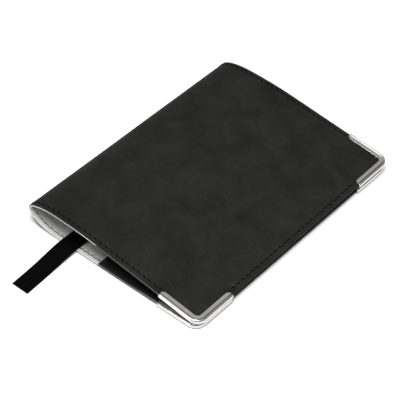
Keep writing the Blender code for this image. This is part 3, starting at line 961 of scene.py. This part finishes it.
def sew(name, lines, hole):
    """A plain mesh of stitches along lines, each a pair of points and surface normals."""
    seams = settings("seams")
    points, normals, edges = [], [], []
    for line, up in lines:
        first = len(points)
        points += [tuple(p) for p in line]
        normals += [tuple(n) for n in up]
        edges += [(first + k, first + k + 1) for k in range(len(line) - 1)]
    guide = bpy.data.meshes.new(name + "_line")
    guide.from_pydata(points, edges, [])
    stored = guide.attributes.new("seam_normal", "FLOAT_VECTOR", "POINT")
    stored.data.foreach_set("vector", np.array(normals, np.float32).reshape(-1))
    holder = add_piece(name + "_line", guide)
    tree = bpy.data.node_groups.get("seam_stitches") or stitch_tree()
    modifier = holder.modifiers.new("stitches", "NODES")
    modifier.node_group = tree
    values = {"Pitch": seams.pitch, "Stitch length": seams.stitch, "Hole radius": hole,
              "Thread radius": seams.thread, "Dip": seams.dip, "Slant": seams.slant,
              "Jitter": STITCH_JITTER, "Seed": STITCH_SEED, "Thread": material(sewing_thread),
              "Hole": material(painted_hole_shade)}
    for item in tree.interface.items_tree:
        if item.in_out == "INPUT" and item.name in values:
            modifier[item.identifier] = values[item.name]
    graph = bpy.context.evaluated_depsgraph_get()
    mesh = bpy.data.meshes.new_from_object(holder.evaluated_get(graph))
    bpy.data.objects.remove(holder)
    if len(mesh.polygons) == 0:
        raise RuntimeError(f"{name} has no stitches")
    smooth(mesh, 60)
    piece = bpy.data.objects.new(name, mesh)
    bpy.context.scene.collection.objects.link(piece)
    return piece


def surface_line(half, along, y, depth, facing):
    """A seam line on a half's face: facing is 1 on its outer side and -1 on its inner side."""
    outline = OUTLINES[half]
    spots = place(outline.at(along, -depth), y)
    ahead = place(outline.at(along, -depth + 1 * MM), y)
    if half == "front":
        spots, ahead = lift_front(spots), lift_front(ahead)
    normals = (ahead - spots) * facing
    return spots, normals / np.linalg.norm(normals, axis=1)[:, None]


class NOTEBOOK_OT_stitches(bpy.types.Operator):
    """Sew the cover's edges and the hems of the pocket flaps"""
    bl_idname = "notebook.stitches"
    bl_label = "Stitches"

    def execute(self, context):
        cover, seams, corners = settings("cover"), settings("seams"), settings("corners")
        ends = {"back": ["back_seam_front_edge", "back_seam_rear_edge", "back_seam_fore_edge"],
                "front": ["front_seam_front_edge", "front_seam_rear_edge",
                          "front_seam_fore_edge", "spine_seam_front_edge",
                          "spine_seam_rear_edge"]}
        for half, nodes in ends.items():
            outline = OUTLINES[half]
            mouth = outline.along_at(cover.flap_mouth)
            leg_start = outline.along_at(COVER_WIDTH - corners.leg) - SEAM_TO_LEG
            along = np.linspace(seams.pitch / 2, leg_start, 260)
            fore = np.full(60, outline.length - seams.inset)
            reach = HALF_LENGTH - corners.leg - SEAM_TO_LEG
            fore_y = np.linspace(-reach, reach, 60)
            sunk = seams.channel - 0.55 * seams.thread
            if half == "back":
                sunk = seams.thread + 0.02 * MM

            def inner_depth(along):
                on_flap = smoothstep((along - mouth) / HEM_RAMP + 0.5)
                lining = cover.leather + cover.lining - 0.1 * MM
                flap = flap_depth(cover, along - mouth) - 0.1 * MM
                return lining + (flap - lining) * on_flap + 0.55 * seams.thread
            faces = {"outer": (1, lambda at: np.full(at.shape, sunk), seams.hole),
                     "inner": (-1, inner_depth, 0.6 * seams.hole)}
            for face, (facing, depth, hole) in faces.items():
                lines = [surface_line(half, along, side * (HALF_LENGTH - seams.inset),
                                      depth(along), facing) for side in (-1, 1)]
                lines.append(surface_line(half, fore, fore_y, depth(fore), facing))
                piece = sew(f"{half}_{face}_edge_stitches", lines, hole)
                bend_half(piece)
                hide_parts(*nodes)

            hem_y = np.linspace(HEM_SEAM_END - HALF_LENGTH, HALF_LENGTH - HEM_SEAM_END, 60)
            hem = np.full(60, mouth + seams.hem_inset)
            depth = flap_depth(cover, hem - mouth) - 0.12 * MM + 0.55 * seams.thread
            piece = sew(half + "_hem_stitches", [surface_line(half, hem, hem_y, depth, -1)],
                        0.6 * seams.hole)
            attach(piece, half + "_cover")
            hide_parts(half + "_flap_hem_thread")
        return {"FINISHED"}


# Ribbon

def ribbon_route(cover, ribbon):
    """(y, height) of the ribbon's middle line from its sewn end to its tail's end."""
    on_lining = cover.leather + cover.lining + ribbon.thickness / 2 + RIBBON_GAP
    over_edge = on_lining + RIBBON_CLIMB
    on_floor = ribbon.thickness / 2 + LAYER_GAP
    y = np.concatenate([np.linspace(SEWN_REAR, FRONT_Y + 14 * MM, 150),
                        np.linspace(FRONT_Y + 14 * MM, TAIL_END, 160)[1:]])
    climb = smoothstep((FRONT_Y + CLIMB_START - y) / CLIMB_LENGTH)
    out = np.clip((FRONT_Y - 0.2 * MM - y) / FALL_LENGTH, 0, 1)
    fall = smoothstep(out) * (1 - out) + (1 - (1 - out) ** 2) * out
    height = on_lining + (over_edge - on_lining) * climb
    height = height + (on_floor - height) * fall
    return y, height


def ribbon_mesh(name, start, end):
    """A stretch of ribbon between two places along the spine, with its woven edges."""
    cover, ribbon = settings("cover"), settings("ribbon")
    y, height = ribbon_route(cover, ribbon)
    keep = (y <= start + 1e-9) & (y >= end - 1e-9)
    y, height = y[keep], height[keep]
    line = np.stack([y, height], 1)
    tangent = np.gradient(line, axis=0)
    tangent /= np.linalg.norm(tangent, axis=1)[:, None]
    normal = np.stack([tangent[:, 1], -tangent[:, 0]], 1)
    across = np.array([-1, -0.985, -0.95, -0.9, -0.7, -0.4, 0, 0.4, 0.7, 0.9, 0.95, 0.985, 1])
    half_thick = np.full(across.shape, 0.40)
    half_thick[[0, -1]] = 0.12
    half_thick[[1, 2, -2, -3]] = 0.5
    out = np.clip((FRONT_Y - y) / (FRONT_Y - TAIL_END), 0, None)
    drift = ribbon.drift * out ** 1.4
    sides = []
    for sign in (1, -1):
        offset = sign * half_thick[None, :] * ribbon.thickness
        x = RIBBON_MIDDLE - 0.25 * MM + drift[:, None] + across[None, :] * ribbon.width / 2
        yy = y[:, None] + normal[:, :1] * offset
        zz = height[:, None] + normal[:, 1:] * offset
        sides.append(np.stack([np.broadcast_to(x, yy.shape), yy, zz], -1))
    run = np.concatenate([[0], np.cumsum(np.linalg.norm(np.diff(line, axis=0), axis=1))])
    grid = (len(y), len(across))
    flat = np.stack([np.broadcast_to(across * ribbon.width / 2, grid),
                     np.broadcast_to(run[:, None], grid)], -1)
    return closed_sheet(name, *sides, flat), float(run[-1])


class NOTEBOOK_OT_ribbon(bpy.types.Operator):
    """Build the ribbon: its sewn end, and the loose strip with its tail"""
    bl_idname = "notebook.ribbon"
    bl_label = "Ribbon marker"

    def execute(self, context):
        cover, ribbon, seams = settings("cover"), settings("ribbon"), settings("seams")
        y, _ = ribbon_route(cover, ribbon)
        split = y[np.argmin(np.abs(y - (SEWN_FRONT - 8 * MM)))]
        mesh, run = ribbon_mesh("ribbon_end", SEWN_REAR, split)
        piece = add_piece("ribbon_end", mesh, material(satin))
        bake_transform(piece)
        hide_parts("ribbon_sewn_end")

        mesh, run = ribbon_mesh("ribbon_strip", split, TAIL_END)
        piece = add_piece("ribbon_strip", mesh, material(satin))
        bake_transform(piece)
        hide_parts("ribbon_marker", "ribbon_tail")

        top = cover.leather + cover.lining + ribbon.thickness + RIBBON_GAP
        lines = []
        for k in (-1, 0, 1):
            tack_y = (SEWN_REAR + SEWN_FRONT) / 2 + k * 1.1 * MM
            x = np.linspace(-4.2, 4.2, 12) * MM + RIBBON_MIDDLE
            line = np.stack([x, np.full(12, tack_y), np.full(12, top + 0.1 * MM)], 1)
            lines.append((line, np.tile([0.0, 0.0, 1.0], (12, 1))))
        piece = sew("ribbon_tack_stitches", lines, 0.5 * seams.hole)
        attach(piece, "back_cover")
        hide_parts("ribbon_tack_thread")
        return {"FINISHED"}


# Stage

# (share of the sky's height, brightness) from straight below to straight above
SKY = ((0.0, 0.02), (0.5, 0.02), (0.64, 0.35), (0.86, 0.38), (0.93, 1.0), (1.0, 1.0))

# Lamps as (name, place in metres, size, watts), all turned to the middle of the floor
LAMPS = (("key", (0.25, -0.3, 1.2), 0.6, 15.5), ("fill", (-0.3, -1.2, 0.08), 0.4, 5.0))

# The point the camera looks at
TARGET = (-1.4 * MM, -5.9 * MM, 0)


class NOTEBOOK_OT_stage(bpy.types.Operator):
    """Set up the floor, the light and the camera"""
    bl_idname = "notebook.stage"
    bl_label = "Stage"

    def execute(self, context):
        stage = settings("stage")
        scene = context.scene
        scene.view_settings.view_transform = "Standard"
        floor = bpy.data.meshes.new("floor")
        reach = 3.0
        floor.from_pydata([(-reach, -reach, 0), (reach, -reach, 0), (reach, reach, 0),
                           (-reach, reach, 0)], [], [(0, 1, 2, 3)])
        material_, tree, shader = new_material("matt_floor")
        shader.inputs["Base Color"].default_value = rgba(stage.floor_colour)
        shader.inputs["Roughness"].default_value = 0.9
        shader.inputs["Specular IOR Level"].default_value = 0.1
        piece = add_piece("floor", floor, material_)

        world = bpy.data.worlds.new("studio")
        scene.world = world
        world.use_nodes = True
        tree = world.node_tree
        back = tree.nodes["Background"]
        up = add_node(tree, "ShaderNodeSeparateXYZ",
                      {0: add_node(tree, "ShaderNodeTexCoord").outputs["Generated"]})
        # A dark band round the horizon gives the metal its lines
        sky = add_node(tree, "ShaderNodeValToRGB", {"Fac": up.outputs["Z"]})
        for k, (height, level) in enumerate(SKY):
            stop = sky.color_ramp.elements[k] if k < 2 else sky.color_ramp.elements.new(height)
            stop.position = height
            stop.color = (level, level, level, 1)
        # What is seen behind the floor is pale
        seen = add_node(tree, "ShaderNodeMix",
                        {0: add_node(tree, "ShaderNodeLightPath").outputs["Is Camera Ray"],
                         6: sky.outputs["Color"], 7: (0.9, 0.9, 0.9, 1)}, data_type="RGBA")
        tree.links.new(seen.outputs[2], back.inputs["Color"])
        back.inputs["Strength"].default_value = 1.2

        for name, where, size, power in LAMPS:
            lamp = bpy.data.lights.new(name, "AREA")
            lamp.shape = "SQUARE"
            lamp.size = size
            lamp.energy = power
            holder = bpy.data.objects.new(name, lamp)
            scene.collection.objects.link(holder)
            holder.location = where
            holder.rotation_euler = (-Vector(where)).to_track_quat("-Z", "Y").to_euler()

        camera = bpy.data.cameras.new("camera")
        camera.lens = stage.lens
        camera.sensor_width = 36
        camera.clip_start = 0.01
        holder = bpy.data.objects.new("camera", camera)
        scene.collection.objects.link(holder)
        flat = math.cos(stage.elevation)
        away = Vector((math.sin(stage.azimuth) * flat, -math.cos(stage.azimuth) * flat,
                       math.sin(stage.elevation)))
        holder.location = Vector(TARGET) + away * stage.distance
        holder.rotation_euler = (-away).to_track_quat("-Z", "Y").to_euler()
        scene.camera = holder
        return {"FINISHED"}


OPERATORS = (NOTEBOOK_OT_stage, NOTEBOOK_OT_leather, NOTEBOOK_OT_lining, NOTEBOOK_OT_flaps,
             NOTEBOOK_OT_corners, NOTEBOOK_OT_stitches, NOTEBOOK_OT_ribbon)


class NOTEBOOK_PT_panel(bpy.types.Panel):
    """The notebook cover's settings and its pieces"""
    bl_label = "Notebook Cover"
    bl_idname = "NOTEBOOK_PT_panel"
    bl_space_type = "VIEW_3D"
    bl_region_type = "UI"
    bl_category = "Notebook Cover"

    def draw(self, context):
        for name, group in GROUPS.items():
            box = self.layout.box()
            box.label(text=name.capitalize())
            for key in group.__annotations__:
                box.prop(settings(name), key)
        for operator in OPERATORS:
            self.layout.operator(operator.bl_idname)


def register():
    for item in (*GROUPS.values(), *OPERATORS, NOTEBOOK_PT_panel):
        bpy.utils.register_class(item)
    for name, group in GROUPS.items():
        setattr(bpy.types.Scene, "notebook_" + name, bpy.props.PointerProperty(type=group))


def unregister():
    for name in GROUPS:
        delattr(bpy.types.Scene, "notebook_" + name)
    for item in (NOTEBOOK_PT_panel, *reversed(OPERATORS), *GROUPS.values()):
        bpy.utils.unregister_class(item)


def main():
    register()
    for operator in OPERATORS:
        group, name = operator.bl_idname.split(".")
        getattr(getattr(bpy.ops, group), name)()


if __name__ == "__main__":
    main()
